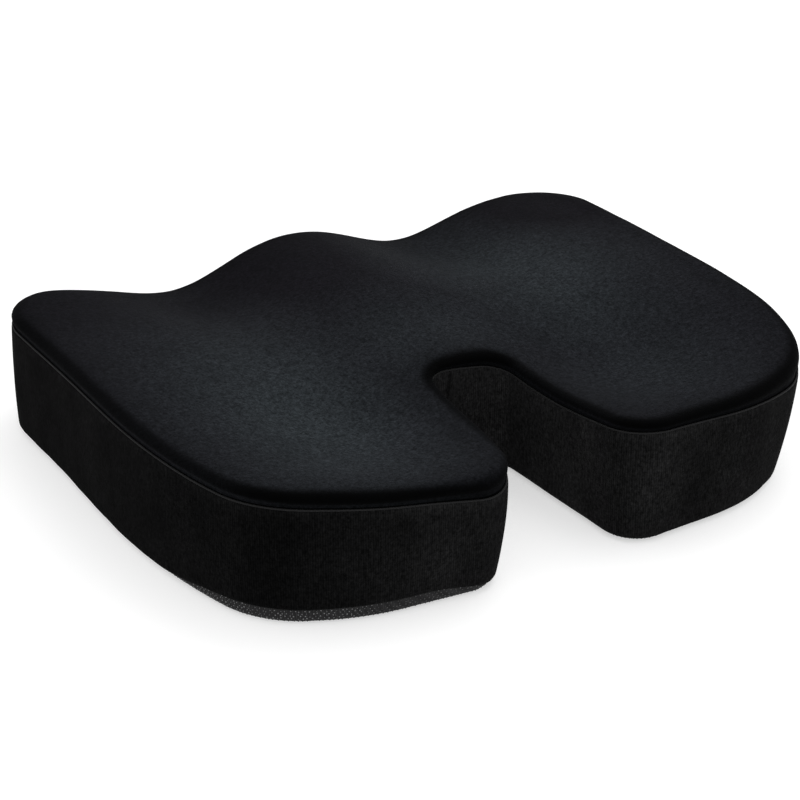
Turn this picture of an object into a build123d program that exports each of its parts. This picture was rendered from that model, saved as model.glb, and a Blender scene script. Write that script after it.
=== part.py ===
"""Coccyx seat cushion: a shaped foam core in a zipped velour cover with a non-slip underside.

Millimetres. +X is the sitter's right, +Y points to the knees, +Z is up. The cushion stands on z = 0,
with the origin under the middle of its bounding box and the tail-bone cut-out open towards -Y.
"""
import math
import os

from build123d import *

os.makedirs("parts", exist_ok=True)

# ---- plan outline of the cover: right half, corner point then corner radius -----------------------
FRONT_Y = 184.5                       # straight front wall
HALF_WIDTH = 225.0
FRONT_CORNER_R = 48.0
CUTOUT_APEX_Y = -53.5                 # inner end of the tail-bone cut-out
RIGHT_HALF = [
    (HALF_WIDTH, FRONT_Y, FRONT_CORNER_R),
    (222.0, -68.5, 420.0),            # slight waist where the side turns in to the lobe
    (198.0, -155.5, 72.0),            # outer corner of the lobe
    (137.0, -183.5, 150.0),           # back of the lobe
    (39.0, -190.5, 29.0),             # mouth of the cut-out
    (30.0, CUTOUT_APEX_Y, 14.5),      # inner corner of the cut-out
]

# ---- height of the seat surface ------------------------------------------------------------------
CENTRE_HEIGHT = 91.5
CROWN_CENTRE_Y = -3.5
SLOPE_TO_FRONT = -2.7                 # per HALF_DEPTH
CROWN_X = -2.5                        # loss of height at HALF_WIDTH
CROWN_Y = -8.9                        # loss of height at HALF_DEPTH
HALF_DEPTH = 180.0
THIGH_START_Y = -23.5                 # the thigh grooves deepen from here over THIGH_RUN
THIGH_RUN = 170.0
POMMEL_RISE = 5.7
POMMEL_WIDTH = 48.0
GROOVE_DEPTH = 17.7
GROOVE_X = 90.4
GROOVE_WIDTH = 49.8
BOWL_DEPTH = 21.8                     # hollow under each sitting bone
BOWL_X = 89.3
BOWL_Y = -84.6
BOWL_SPREAD_X = 75.0
BOWL_SPREAD_Y = 90.0

# ---- cover ---------------------------------------------------------------------------------------
CLOTH = 1.6                           # velour with its backing
RIM_R = 7.0                           # rounded edge of the top panel
SEAM_DROP = 10.0                      # top seam below the seat surface
HEM_R = 5.0                           # rounded lower edge
HEM_Z = 9.0                           # non-slip panel wraps up the wall to here
FRONT_SEAM_X = 172.0                  # side bands end and front bands start
CUTOUT_SEAM_X = -13.0                 # the two side bands meet in the cut-out
CORE_GAP = 0.3                        # between cloth and foam
CORE_FRONT_GAP = 6.0                  # foam stands back from the zipper
WELT_OUT = 0.8
WELT_TALL = 2.0
THREAD = 0.5
TALL = 140.0                          # above everything, for trimming solids

# ---- zipper (size 5 coil) ------------------------------------------------------------------------
ZIP_Z = 37.0
SLOT_HALF = 5.2                       # bare strip between the two front bands
TAPE_THICK = 0.6
TAPE_IN = 1.2
TAPE_OUT = 14.0
TAPE_HALF_LENGTH = 171.5
COIL_IN = 0.6
COIL_OUT = 3.2
COIL_DEEP = 2.2
COIL_HALF_LENGTH = 158.0
STOP_LENGTH = 2.4
STOP_GAP = 0.4
SLIDER_X = 150.0                      # closed position
SLIDER_LENGTH = 11.0
SLIDER_NOSE = 9.2
SLIDER_TAIL = 7.6
WING = 1.0
WING_GAP = 0.3
FLANGE_IN = 3.6
FLANGE_OUT = 4.4
POST_THICK = 0.5
POST_LENGTH = 2.4
BRIDGE_SPAN = 7.0
BRIDGE_LEG = 1.3
BRIDGE_WIDE = 1.6
BRIDGE_RISE = 3.1
PULL_THICK = 1.2
PULL_ARM_IN = 1.2
PULL_ARM_OUT = 2.5
PULL_ARM_LENGTH = 5.2
PULL_LENGTH = 26.0
PULL_HALF_WIDE = 3.6
PULL_EYE = 2.0
CARE_LABEL = (34.0, 0.4, 13.0)


def smooth_step(t):
    t = min(max(t, 0.0), 1.0)
    return t * t * (3.0 - 2.0 * t)


def seat_height(x, y):
    """Height of the seat surface over the plan point x, y."""
    from_centre = y - CROWN_CENTRE_Y
    thigh = smooth_step((y - THIGH_START_Y) / THIGH_RUN)
    crown = (
        SLOPE_TO_FRONT * from_centre / HALF_DEPTH
        + CROWN_X * (x / HALF_WIDTH) ** 2
        + CROWN_Y * (from_centre / HALF_DEPTH) ** 2
    )
    pommel = POMMEL_RISE * math.exp(-((x / POMMEL_WIDTH) ** 2)) * thigh
    groove = GROOVE_DEPTH * math.exp(-(((abs(x) - GROOVE_X) / GROOVE_WIDTH) ** 2)) * thigh
    bowl = BOWL_DEPTH * math.exp(
        -(((abs(x) - BOWL_X) / BOWL_SPREAD_X) ** 2) - ((y - BOWL_Y) / BOWL_SPREAD_Y) ** 2
    )
    return CENTRE_HEIGHT + crown + pommel - groove - bowl


def seat_surface(drop):
    """The seat surface as one smooth face that overhangs the outline, lowered by drop."""
    step = 20.0
    xs = [step * i for i in range(-12, 13)]
    ys = [step * j for j in range(-11, 12)]
    grid = [[Vector(x, y, seat_height(x, y) - drop) for y in ys] for x in xs]
    return Face.make_surface_from_array_of_points(grid, min_deg=3)


def outline(inset, front_gap=0.0):
    """Plan outline as a sketch on XY, moved inwards by inset; front_gap moves the front wall back."""
    right = [(x, min(y, FRONT_Y - front_gap)) for x, y, radius in RIGHT_HALF]
    radii = [radius for x, y, radius in RIGHT_HALF]
    points = right + [(-x, y) for x, y in reversed(right)]
    with BuildSketch(Plane.XY) as plan:
        with BuildLine():
            FilletPolyline(*points, radius=radii + radii[::-1], close=True)
        make_face()
        if inset:
            offset(amount=-inset, kind=Kind.INTERSECTION, mode=Mode.REPLACE)
    return plan.sketch


def under_seat(drop):
    """Everything under the seat surface lowered by drop, as a trimming solid."""
    surface = seat_surface(drop)
    with BuildPart() as ground:
        extrude(to_extrude=surface, amount=TALL, dir=(0, 0, -1))
    return ground.part


def rounded_body(inset, front_gap=0.0):
    """The cushion's outer form, or a smaller one inside it for the lining faces and the foam."""
    plan = outline(inset, front_gap)
    ground = under_seat(inset)
    with BuildPart() as body:
        with BuildSketch(Plane.XY.offset(inset)):
            add(plan)
        extrude(amount=TALL)
        add(ground, mode=Mode.INTERSECT)
        fillet(body.faces().sort_by(Axis.Z)[-1].edges(), radius=RIM_R - inset)
        fillet(body.faces().sort_by(Axis.Z)[0].edges(), radius=HEM_R - inset)
    return body.part


def block(x_range, y_range, z_range):
    """A plain trimming block between the given limits."""
    low = Vector(x_range[0], y_range[0], z_range[0])
    high = Vector(x_range[1], y_range[1], z_range[1])
    size = high - low
    return Pos((low + high) * 0.5) * Box(size.X, size.Y, size.Z, mode=Mode.PRIVATE)


# ---- plans and trimming solids -------------------------------------------------------------------
wall_plan = outline(0.0)
lining_plan = outline(CLOTH)
welt_plan = outline(-WELT_OUT)
thread_plan = outline(-THREAD)
under_top = under_seat(0.0)
under_seam = under_seat(SEAM_DROP)
under_welt_top = under_seat(SEAM_DROP - WELT_TALL / 2)
under_welt = under_seat(SEAM_DROP + WELT_TALL / 2)
inner_form = rounded_body(CLOTH)
core_form = rounded_body(CLOTH + CORE_GAP, CORE_FRONT_GAP)

# ---- foam core -----------------------------------------------------------------------------------
with BuildPart() as foam_core:
    add(core_form)

# ---- cover ---------------------------------------------------------------------------------------
with BuildPart() as top_panel:
    with BuildSketch(Plane.XY):
        add(wall_plan)
    extrude(amount=TALL)
    add(under_top, mode=Mode.INTERSECT)
    add(under_seam, mode=Mode.SUBTRACT)
    fillet(top_panel.faces().sort_by(Axis.Z)[-1].edges(), radius=RIM_R)
    add(inner_form, mode=Mode.SUBTRACT)

with BuildPart() as band:
    with BuildSketch(Plane.XY.offset(HEM_Z)):
        add(wall_plan)
        add(lining_plan, mode=Mode.SUBTRACT)
    extrude(amount=TALL)
    add(under_seam, mode=Mode.INTERSECT)

with BuildPart() as bottom_panel:
    with BuildSketch(Plane.XY):
        add(wall_plan)
    extrude(amount=HEM_Z)
    fillet(bottom_panel.faces().sort_by(Axis.Z)[0].edges(), radius=HEM_R)
    add(inner_form, mode=Mode.SUBTRACT)

FAR = 300.0
FRONT_ZONE = (FRONT_Y - 2 * CORE_FRONT_GAP, FAR)
front_slice = block((-FRONT_SEAM_X, FRONT_SEAM_X), FRONT_ZONE, (0, TALL))

with BuildPart() as side_band_left:
    add(band.part)
    split(bisect_by=Plane.YZ.offset(CUTOUT_SEAM_X), keep=Keep.BOTTOM)
    add(front_slice, mode=Mode.SUBTRACT)

with BuildPart() as side_band_right:
    add(band.part)
    split(bisect_by=Plane.YZ.offset(CUTOUT_SEAM_X), keep=Keep.TOP)
    add(front_slice, mode=Mode.SUBTRACT)

with BuildPart() as front_band_upper:
    add(band.part)
    add(front_slice, mode=Mode.INTERSECT)
    split(bisect_by=Plane.XY.offset(ZIP_Z + SLOT_HALF), keep=Keep.TOP)

with BuildPart() as front_band_lower:
    add(band.part)
    add(front_slice, mode=Mode.INTERSECT)
    split(bisect_by=Plane.XY.offset(ZIP_Z - SLOT_HALF), keep=Keep.BOTTOM)

# ---- seams ---------------------------------------------------------------------------------------
with BuildPart() as top_seam_welt:
    with BuildSketch(Plane.XY):
        add(welt_plan)
        add(wall_plan, mode=Mode.SUBTRACT)
    extrude(amount=TALL)
    add(under_welt_top, mode=Mode.INTERSECT)
    add(under_welt, mode=Mode.SUBTRACT)

with BuildPart() as bottom_seam_thread:
    with BuildSketch(Plane.XY.offset(HEM_Z - THREAD)):
        add(thread_plan)
        add(wall_plan, mode=Mode.SUBTRACT)
    extrude(amount=2 * THREAD)

with BuildPart() as zipper_stitching:
    for side in (-1, 1):
        row = ZIP_Z + side * (SLOT_HALF + 2.5)
        with BuildSketch(Plane.XZ.offset(-FRONT_Y)):
            with Locations((0, row)):
                Rectangle(2 * FRONT_SEAM_X - 6, THREAD)
        extrude(amount=-THREAD / 2)

# ---- zipper --------------------------------------------------------------------------------------
TAPE_FRONT_Y = FRONT_Y - CLOTH
COIL_FRONT_Y = TAPE_FRONT_Y + COIL_DEEP


def zipper_strip(side, z_range, y_range, half_length):
    """A straight strip along the zipper, above (side +1) or below (side -1) its centre line."""
    z_limits = sorted(ZIP_Z + side * z for z in z_range)
    return block((-half_length, half_length), y_range, z_limits)


TAPE_Y = (TAPE_FRONT_Y - TAPE_THICK, TAPE_FRONT_Y)
COIL_Y = (TAPE_FRONT_Y, COIL_FRONT_Y)

with BuildPart() as zipper_tape_upper:
    add(zipper_strip(1, (TAPE_IN, TAPE_OUT), TAPE_Y, TAPE_HALF_LENGTH))

with BuildPart() as zipper_tape_lower:
    add(zipper_strip(-1, (TAPE_IN, TAPE_OUT), TAPE_Y, TAPE_HALF_LENGTH))

with BuildPart() as zipper_coil_upper:
    add(zipper_strip(1, (COIL_IN, COIL_OUT), COIL_Y, COIL_HALF_LENGTH))
    fillet(zipper_coil_upper.edges().filter_by(Axis.X).group_by(Axis.Y)[-1], radius=0.8)

with BuildPart() as zipper_coil_lower:
    add(zipper_strip(-1, (COIL_IN, COIL_OUT), COIL_Y, COIL_HALF_LENGTH))
    fillet(zipper_coil_lower.edges().filter_by(Axis.X).group_by(Axis.Y)[-1], radius=0.8)

with BuildPart() as zipper_top_stops:
    start = COIL_HALF_LENGTH + STOP_GAP
    for side in (-1, 1):
        z_limits = sorted(ZIP_Z + side * z for z in (COIL_IN, COIL_OUT))
        add(block((start, start + STOP_LENGTH), COIL_Y, z_limits))

with BuildPart() as zipper_bottom_stop:
    start = -COIL_HALF_LENGTH - STOP_GAP
    add(block((start - STOP_LENGTH, start), COIL_Y, (ZIP_Z - COIL_OUT, ZIP_Z + COIL_OUT)))

UPPER_WING_Y = COIL_FRONT_Y + WING_GAP
LOWER_WING_Y = TAPE_FRONT_Y - TAPE_THICK - WING_GAP
NOSE_X = SLIDER_X + SLIDER_LENGTH / 2
TAIL_X = SLIDER_X - SLIDER_LENGTH / 2
PIVOT_Y = UPPER_WING_Y + WING + 0.35 + PULL_THICK / 2


def wing(front_y):
    """One plate of the slider, with its front face at front_y, tapering from nose to tail."""
    corners = [
        (NOSE_X, ZIP_Z + SLIDER_NOSE / 2),
        (TAIL_X, ZIP_Z + SLIDER_TAIL / 2),
        (TAIL_X, ZIP_Z - SLIDER_TAIL / 2),
        (NOSE_X, ZIP_Z - SLIDER_NOSE / 2),
    ]
    with BuildPart() as plate:
        with BuildSketch(Plane.XZ.offset(-front_y)):
            with BuildLine():
                FilletPolyline(*corners, radius=1.4, close=True)
            make_face()
        extrude(amount=WING)
    return plate.part


upper_wing = wing(UPPER_WING_Y + WING)
lower_wing = wing(LOWER_WING_Y)

with BuildPart() as zipper_slider:
    add(upper_wing)
    add(lower_wing)
    for side in (-1, 1):
        z_limits = sorted(ZIP_Z + side * z for z in (FLANGE_IN, FLANGE_OUT))
        flange_y = (TAPE_FRONT_Y + WING_GAP, UPPER_WING_Y + WING)
        add(block((TAIL_X + 1.0, NOSE_X - 1.0), flange_y, z_limits))
    post_x = (NOSE_X - 1.5 - POST_LENGTH, NOSE_X - 1.5)
    post_z = (ZIP_Z - POST_THICK / 2, ZIP_Z + POST_THICK / 2)
    add(block(post_x, (LOWER_WING_Y - WING, UPPER_WING_Y + WING), post_z))
    with BuildSketch(Plane.XY.offset(ZIP_Z - BRIDGE_WIDE / 2)):
        with Locations((SLIDER_X, UPPER_WING_Y + WING + BRIDGE_RISE / 2 - 0.1)):
            Rectangle(BRIDGE_SPAN, BRIDGE_RISE + 0.2)
        with Locations((SLIDER_X, UPPER_WING_Y + WING + (BRIDGE_RISE - 1.2) / 2)):
            Rectangle(BRIDGE_SPAN - 2 * BRIDGE_LEG, BRIDGE_RISE - 1.2, mode=Mode.SUBTRACT)
    extrude(amount=BRIDGE_WIDE)
    fillet(
        zipper_slider.edges().filter_by(Axis.Z).group_by(Axis.Y)[-1],
        radius=1.0,
    )

with BuildPart() as zipper_pull:
    with BuildSketch(Plane.XY.offset(ZIP_Z - PULL_ARM_OUT)):
        with Locations((SLIDER_X, PIVOT_Y)):
            Circle(PULL_THICK / 2)
    extrude(amount=2 * PULL_ARM_OUT)
    with BuildSketch(Plane.XZ.offset(-PIVOT_Y)):
        for side in (-1, 1):
            arm_z = side * (PULL_ARM_IN + PULL_ARM_OUT) / 2
            with Locations((SLIDER_X - PULL_ARM_LENGTH / 2, ZIP_Z + arm_z)):
                Rectangle(PULL_ARM_LENGTH, PULL_ARM_OUT - PULL_ARM_IN)
        tab_length = PULL_LENGTH - PULL_ARM_LENGTH + 0.5
        tab_x = SLIDER_X - PULL_LENGTH + tab_length / 2
        with Locations((tab_x, ZIP_Z)):
            RectangleRounded(tab_length, 2 * PULL_HALF_WIDE, 2.0)
        with Locations((SLIDER_X - PULL_LENGTH + 5.0, ZIP_Z)):
            Circle(PULL_EYE, mode=Mode.SUBTRACT)
    extrude(amount=PULL_THICK / 2, both=True)

# ---- folded care label, sewn inside the front ----------------------------------------------------
with BuildPart() as care_label:
    label_wide, label_thick, label_tall = CARE_LABEL
    label_x = -120.0
    label_y = FRONT_Y - CLOTH
    add(
        block(
            (label_x - label_wide / 2, label_x + label_wide / 2),
            (label_y - label_thick, label_y),
            (HEM_Z, HEM_Z + label_tall),
        )
    )

PIECES = {
    "foam_core": foam_core,
    "top_panel": top_panel,
    "side_band_left": side_band_left,
    "side_band_right": side_band_right,
    "front_band_upper": front_band_upper,
    "front_band_lower": front_band_lower,
    "bottom_panel": bottom_panel,
    "top_seam_welt": top_seam_welt,
    "bottom_seam_thread": bottom_seam_thread,
    "zipper_stitching": zipper_stitching,
    "zipper_tape_upper": zipper_tape_upper,
    "zipper_tape_lower": zipper_tape_lower,
    "zipper_coil_upper": zipper_coil_upper,
    "zipper_coil_lower": zipper_coil_lower,
    "zipper_top_stops": zipper_top_stops,
    "zipper_bottom_stop": zipper_bottom_stop,
    "zipper_slider": zipper_slider,
    "zipper_pull": zipper_pull,
    "care_label": care_label,
}
for node, piece in PIECES.items():
    piece.part.label = node
    export_step(piece.part, f"parts/{node}.step")
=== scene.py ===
"""Looks of the coccyx seat cushion: velour cover, piping, non-slip underside, zipper and foam.

Metres, in the CAD frame: +X the sitter's right, +Y the knees, +Z up, standing on z = 0.
"""
import math

import bmesh
import bpy
import numpy as np
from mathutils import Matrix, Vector, geometry, kdtree, noise

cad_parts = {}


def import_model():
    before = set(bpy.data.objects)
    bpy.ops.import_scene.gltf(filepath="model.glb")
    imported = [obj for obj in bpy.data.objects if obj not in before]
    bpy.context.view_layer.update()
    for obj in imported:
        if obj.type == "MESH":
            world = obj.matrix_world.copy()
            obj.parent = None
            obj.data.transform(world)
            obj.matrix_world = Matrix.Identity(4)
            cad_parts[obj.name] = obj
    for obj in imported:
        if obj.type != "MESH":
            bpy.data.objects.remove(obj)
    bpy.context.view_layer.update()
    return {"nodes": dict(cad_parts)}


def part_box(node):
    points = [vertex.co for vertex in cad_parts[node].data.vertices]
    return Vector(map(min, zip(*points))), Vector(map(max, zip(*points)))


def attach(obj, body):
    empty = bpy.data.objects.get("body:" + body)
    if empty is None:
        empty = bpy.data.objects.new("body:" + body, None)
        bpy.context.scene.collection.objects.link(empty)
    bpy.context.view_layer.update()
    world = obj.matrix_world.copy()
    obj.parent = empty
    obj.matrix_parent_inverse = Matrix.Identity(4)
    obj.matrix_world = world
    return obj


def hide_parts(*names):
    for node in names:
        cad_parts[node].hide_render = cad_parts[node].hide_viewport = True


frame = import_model()

MM = 0.001
BODY = "cushion"

# ---- driving dimensions, from the frame ----------
FRONT_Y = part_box("top_panel")[1].y / MM
HEM_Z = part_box("bottom_panel")[1].z / MM + 2.5
FRONT_SEAM_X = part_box("front_band_lower")[1].x / MM
SLOT_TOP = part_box("front_band_upper")[0].z / MM
SLOT_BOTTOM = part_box("front_band_lower")[1].z / MM
ZIP_Z = (SLOT_TOP + SLOT_BOTTOM) / 2
CUTOUT_SEAM_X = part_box("side_band_right")[0].x / MM

# Plan outline of the cover, right half: corner x, corner y, corner radius (mm), front to cut-out.
CUTOUT_APEX_Y = -53.5
RIGHT_HALF = [
    (225.0, FRONT_Y, 48.0),
    (222.0, -68.5, 420.0),
    (198.0, -155.5, 72.0),
    (137.0, -183.5, 150.0),
    (39.0, -190.5, 29.0),
    (30.0, CUTOUT_APEX_Y, 14.5),
]
LEFT_DRAWN_IN = 3.0       # the cover is pulled in along the left side
LOBE_SWELL = 4.0          # the left lobe swells into the cut-out
SEAM_DROP = 9.5           # top seam below the seat surface
LOW_HEM_Z = 4.0           # lower seam where it is least pulled up
HEM_R = 5.0               # rounding of the wall into the underside
DOT_HIGH = 0.4            # the cushion rests on its dots
CLOTH = 1.3               # thickness of the cloth
COLUMN_STEP = 2.0         # between the mesh columns round the outline
SEAT_TOP = 91.5
HALF_WIDE, HALF_DEEP = 225.0, 180.0

# Humps, each with its size (mm, or a share of the painted light), then its middle and spread in x
# and its middle and spread in y (mm).
SITTING_BOWL = (21.8, 89.3, 75.0, -84.6, 90.0)   # x counted from the middle of the cushion
SEAT_RISES = (            # where this cushion's seat differs from its even form
    (5.5, -224.0, 42.0, 165.0, 52.0),    # left front corner
    (3.2, -185.0, 32.0, 184.0, 34.0),    # front edge beside it
    (5.2, -155.0, 75.0, -175.0, 55.0),   # back of the left lobe
    (5.0, 85.0, 70.0, -185.0, 55.0),     # back of the right lobe
    (4.5, 216.0, 36.0, -108.0, 46.0),    # right side
    (-2.4, 205.0, 62.0, 60.0, 100.0),    # right front
)
SEAM_DROPS = (            # where the top seam runs lower
    (7.0, -48.0, 38.0, -190.0, 45.0),    # inner corner of the left lobe
    (8.0, 200.0, 55.0, -140.0, 60.0),    # outer corner of the right lobe
    (3.2, -185.0, 32.0, 184.0, 34.0),    # left end of the front
    (-2.2, 62.0, 45.0, -185.0, 40.0),    # back of the right lobe
    (-5.0, -26.0, 24.0, -60.0, 20.0),    # inner end of the cut-out
)
WALL_TUCK = (7.0, 207.0, 50.0, -130.0, 60.0)     # the right lobe's corner leans in more
# Painted light on the seat: patches coloured lighter.
PAINTED_LIGHT_PATCHES = (
    (1.00, -118.0, 66.0, -58.0, 118.0),  # left hollow and thigh groove
    (0.82, 114.0, 64.0, 50.0, 112.0),    # right thigh groove
    (0.40, 108.0, 60.0, -105.0, 70.0),   # right hollow
    (0.50, 0.0, 70.0, -15.0, 62.0),      # middle
)
# Painted shade on the seat: patches coloured darker.
PAINTED_SHADE_PATCHES = (
    (0.30, -26.0, 44.0, 140.0, 80.0),    # middle ridge
    (0.45, 178.0, 48.0, 145.0, 55.0),    # right front corner
    (0.10, -200.0, 60.0, 150.0, 60.0),   # left front corner
)


# ---- seat surface --------------------------------
def smooth_step(t):
    t = np.clip(t, 0.0, 1.0)
    return t * t * (3.0 - 2.0 * t)


def bell(distance, spread):
    return np.exp(-((distance / spread) ** 2))


def hump(place, x, y):
    """A rounded rise over plan points: place is its size, then middle and spread in x and in y."""
    size, middle_x, spread_x, middle_y, spread_y = place
    return size * bell(x - middle_x, spread_x) * bell(y - middle_y, spread_y)


def seat_height(x, y):
    """Height (mm) of the seat over plan points: crown, pommel, thigh grooves and sitting bowls."""
    run = y + 3.5
    thigh = smooth_step((y + 23.5) / 170.0)
    beside = np.where(np.abs(x) < 18.0, x * x / 36.0 + 9.0, np.abs(x))
    crown = SEAT_TOP - 2.7 * run / HALF_DEEP - 2.5 * (x / HALF_WIDE) ** 2
    crown = crown - 8.9 * (run / HALF_DEEP) ** 2
    pommel = 5.7 * bell(x, 48.0) * thigh
    groove = 17.7 * bell(beside - 90.4, 49.8) * thigh
    rises = sum(hump(place, x, y) for place in SEAT_RISES)
    return crown + pommel - groove - hump(SITTING_BOWL, beside, y) + rises


def at_height(plan, height):
    """Plan points lifted to one height, or each to its own (mm)."""
    return np.column_stack([plan, np.broadcast_to(height, len(plan))])


def at_seat(plan, rise=0.0):
    """Plan points lifted to the seat surface, or this far above it (mm)."""
    return at_height(plan, seat_height(plan[:, 0], plan[:, 1]) + rise)


# ---- plan outline --------------------------------
def outline_segments():
    """The closed outline in straight and arc segments, and its length (mm).

    A segment is its start along the outline, start x and y, heading and curvature.
    """
    corners = RIGHT_HALF + [(-x, y, r) for x, y, r in reversed(RIGHT_HALF)]
    points = np.array([(x, y) for x, y, r in corners])
    count = len(points)
    segments = []
    here = np.array([0.0, FRONT_Y])
    along = 0.0
    for i in range(count):
        corner, radius = points[i], corners[i][2]
        incoming = corner - here
        outgoing = points[(i + 1) % count] - corner
        heading = math.atan2(incoming[1], incoming[0])
        turn = math.atan2(outgoing[1], outgoing[0]) - heading
        turn = (turn + math.pi) % (2 * math.pi) - math.pi
        setback = radius * math.tan(abs(turn) / 2)
        straight = np.hypot(*incoming) - setback
        segments.append((along, *here, heading, 0.0))
        along += straight
        start = corner - incoming / np.hypot(*incoming) * setback
        arc = radius * abs(turn)
        segments.append((along, *start, heading, turn / arc))
        along += arc
        here = corner + outgoing / np.hypot(*outgoing) * setback
    last = np.array([0.0, FRONT_Y]) - here
    segments.append((along, *here, math.atan2(last[1], last[0]), 0.0))
    return np.array(segments), along + np.hypot(*last)


SEGMENTS, PERIMETER = outline_segments()


def outline_at(s):
    """Points and outward normals of the outline at distances s from the middle of the front."""
    s = np.asarray(s, float) % PERIMETER
    index = np.searchsorted(SEGMENTS[:, 0], s, side="right") - 1
    start, x0, y0, heading, bend = SEGMENTS[np.clip(index, 0, len(SEGMENTS) - 1)].T
    run = s - start
    straight = np.abs(bend) < 1e-9
    safe = np.where(straight, 1.0, bend)
    end = heading + bend * run
    dx = np.where(straight, np.cos(heading) * run, (np.sin(end) - np.sin(heading)) / safe)
    dy = np.where(straight, np.sin(heading) * run, (np.cos(heading) - np.cos(end)) / safe)
    points = np.stack([x0 + dx, y0 + dy], 1)
    normals = np.stack([-np.sin(end), np.cos(end)], 1)
    drawn_in = LEFT_DRAWN_IN * smooth_step((-points[:, 0] - 150.0) / 60.0)
    drawn_in = drawn_in * smooth_step(-normals[:, 0]) * smooth_step((points[:, 1] + 10.0) / 110.0)
    points[:, 0] += drawn_in
    swell = smooth_step(-points[:, 0] / 24.0) * smooth_step((54.0 + points[:, 0]) / 20.0)
    back = smooth_step((points[:, 1] + 188.0) / 70.0) * smooth_step(-points[:, 1] / 20.0)
    points[:, 0] += LOBE_SWELL * swell * back
    return points, normals


def rim_height(points):
    """How far the top seam runs below the seat at outline points."""
    x, y = points[:, 0], points[:, 1]
    return SEAM_DROP + sum(hump(place, x, y) for place in SEAM_DROPS)


def all_round(step=COLUMN_STEP):
    """Outline distances once round the cushion."""
    return np.arange(0, PERIMETER - step / 2, step)


def seam_z(points):
    """Height of the top seam at outline points."""
    return seat_height(points[:, 0], points[:, 1]) - rim_height(points)


def hem_z(points):
    """Height of the hem: the underside's cloth comes up furthest round the left lobe's back."""
    x, y = points[:, 0], points[:, 1]
    pulled_up = smooth_step((-x - 38.0) / 66.0) * smooth_step((-y - 60.0) / 80.0)
    return LOW_HEM_Z + (HEM_Z - LOW_HEM_Z) * pulled_up


def smooth_profile(knots, count, tall):
    """A smooth curve through the knots as count points, evenly spaced for a rim this tall."""
    knots = np.array(knots, float)
    ends = np.vstack([2 * knots[0] - knots[1], knots, 2 * knots[-1] - knots[-2]])
    fine = []
    for i in range(1, len(ends) - 2):
        a, b, c, d = ends[i - 1], ends[i], ends[i + 1], ends[i + 2]
        for t in np.linspace(0, 1, 20, endpoint=False):
            fine.append(
                0.5 * (2 * b + (c - a) * t + (2 * a - 5 * b + 4 * c - d) * t * t
                       + (3 * b - a - 3 * c + d) * t ** 3)
            )
    fine = np.array(fine + [knots[-1]])
    steps = np.linalg.norm(np.diff(fine * [1.0, tall], axis=0), axis=1)
    run = np.concatenate([[0], np.cumsum(steps)])
    even = np.linspace(0, run[-1], count)
    return np.stack([np.interp(even, run, fine[:, k]) for k in range(fine.shape[1])], 1)


def ripple(points, scale, seed):
    """Smooth noise in -1..1 at 3-D points (mm), with features about scale mm across."""
    shift = Vector((seed * 17.3, seed * 5.1, seed * 9.7))
    return np.array([noise.noise(Vector(p) / scale + shift) for p in points])


# ---- mesh helpers --------------------------------
def place_in_scene(name, data):
    """A new object in the scene."""
    made = bpy.data.objects.new(name, data)
    bpy.context.scene.collection.objects.link(made)
    return made


def new_object(name, verts_mm, faces, uv=None, shade=None, painted_light=None):
    """A mesh object from points in mm; uv (metres), painted shade and painted light are per vertex.
    """
    mesh = bpy.data.meshes.new(name)
    mesh.from_pydata((np.asarray(verts_mm) * MM).tolist(), [], [tuple(f) for f in faces])
    mesh.validate()
    if uv is not None:
        layer = mesh.uv_layers.new(name="cloth")
        loops = np.zeros(len(mesh.loops), np.int32)
        mesh.loops.foreach_get("vertex_index", loops)
        layer.data.foreach_set("uv", np.asarray(uv, np.float32)[loops].ravel())
    for key, values in (("shade", shade), ("painted_light", painted_light)):
        if values is not None:
            layer = mesh.attributes.new(key, "FLOAT", "POINT")
            layer.data.foreach_set("value", np.asarray(values, np.float32))
    mesh.shade_smooth()
    mesh.update()
    return place_in_scene(name, mesh)


def face_outwards(piece):
    """Turns the faces of a piece to one side, the outer one where the piece is closed."""
    mesh = bmesh.new()
    mesh.from_mesh(piece.data)
    bmesh.ops.recalc_face_normals(mesh, faces=mesh.faces)
    mesh.to_mesh(piece.data)
    mesh.free()


def strip_faces(columns, rows, closed):
    """Quads of a grid stored column by column, optionally joined from last column to first."""
    faces = []
    for i in range(columns if closed else columns - 1):
        j = (i + 1) % columns
        for k in range(rows - 1):
            faces.append((i * rows + k, j * rows + k, j * rows + k + 1, i * rows + k + 1))
    return faces


def inside(points, loop):
    """Which of the points lie inside the closed loop."""
    x, y = points[:, 0], points[:, 1]
    hit = np.zeros(len(points), bool)
    for (x0, y0), (x1, y1) in zip(loop, np.roll(loop, -1, axis=0)):
        if y0 == y1:
            continue
        hit ^= ((y0 > y) != (y1 > y)) & (x < (x1 - x0) * (y - y0) / (y1 - y0) + x0)
    return hit


def search_tree(points):
    """A tree that finds the nearest of some 3-D points."""
    tree = kdtree.KDTree(len(points))
    for i, p in enumerate(points):
        tree.insert(p, i)
    tree.balance()
    return tree


def staggered(low, high, step, loop):
    """Plan points in staggered rows between two corners, those inside the closed loop."""
    xs = np.arange(low[0], high[0], step)
    ys = np.arange(low[1], high[1], step * math.sqrt(3) / 2)
    grid = np.array([(x + (k % 2) * step / 2, y) for k, y in enumerate(ys) for x in xs])
    return grid[inside(grid, loop)]


def fill_loop(loop, step):
    """Points and triangles that fill a plan loop evenly; the loop's own points come first."""
    tree = search_tree(at_height(loop, 0.0))
    grid = staggered(loop.min(0) + step / 2, loop.max(0), step, loop)
    grid = [p for p in grid if tree.find((*p, 0.0))[2] > 0.75 * step]
    points = [Vector(p) for p in np.vstack([loop, grid])]
    edges = [(i, (i + 1) % len(loop)) for i in range(len(loop))]
    made = geometry.delaunay_2d_cdt(points, edges, [], 1, 1e-7)
    return np.array([tuple(v) for v in made[0]]), made[2]


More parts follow.
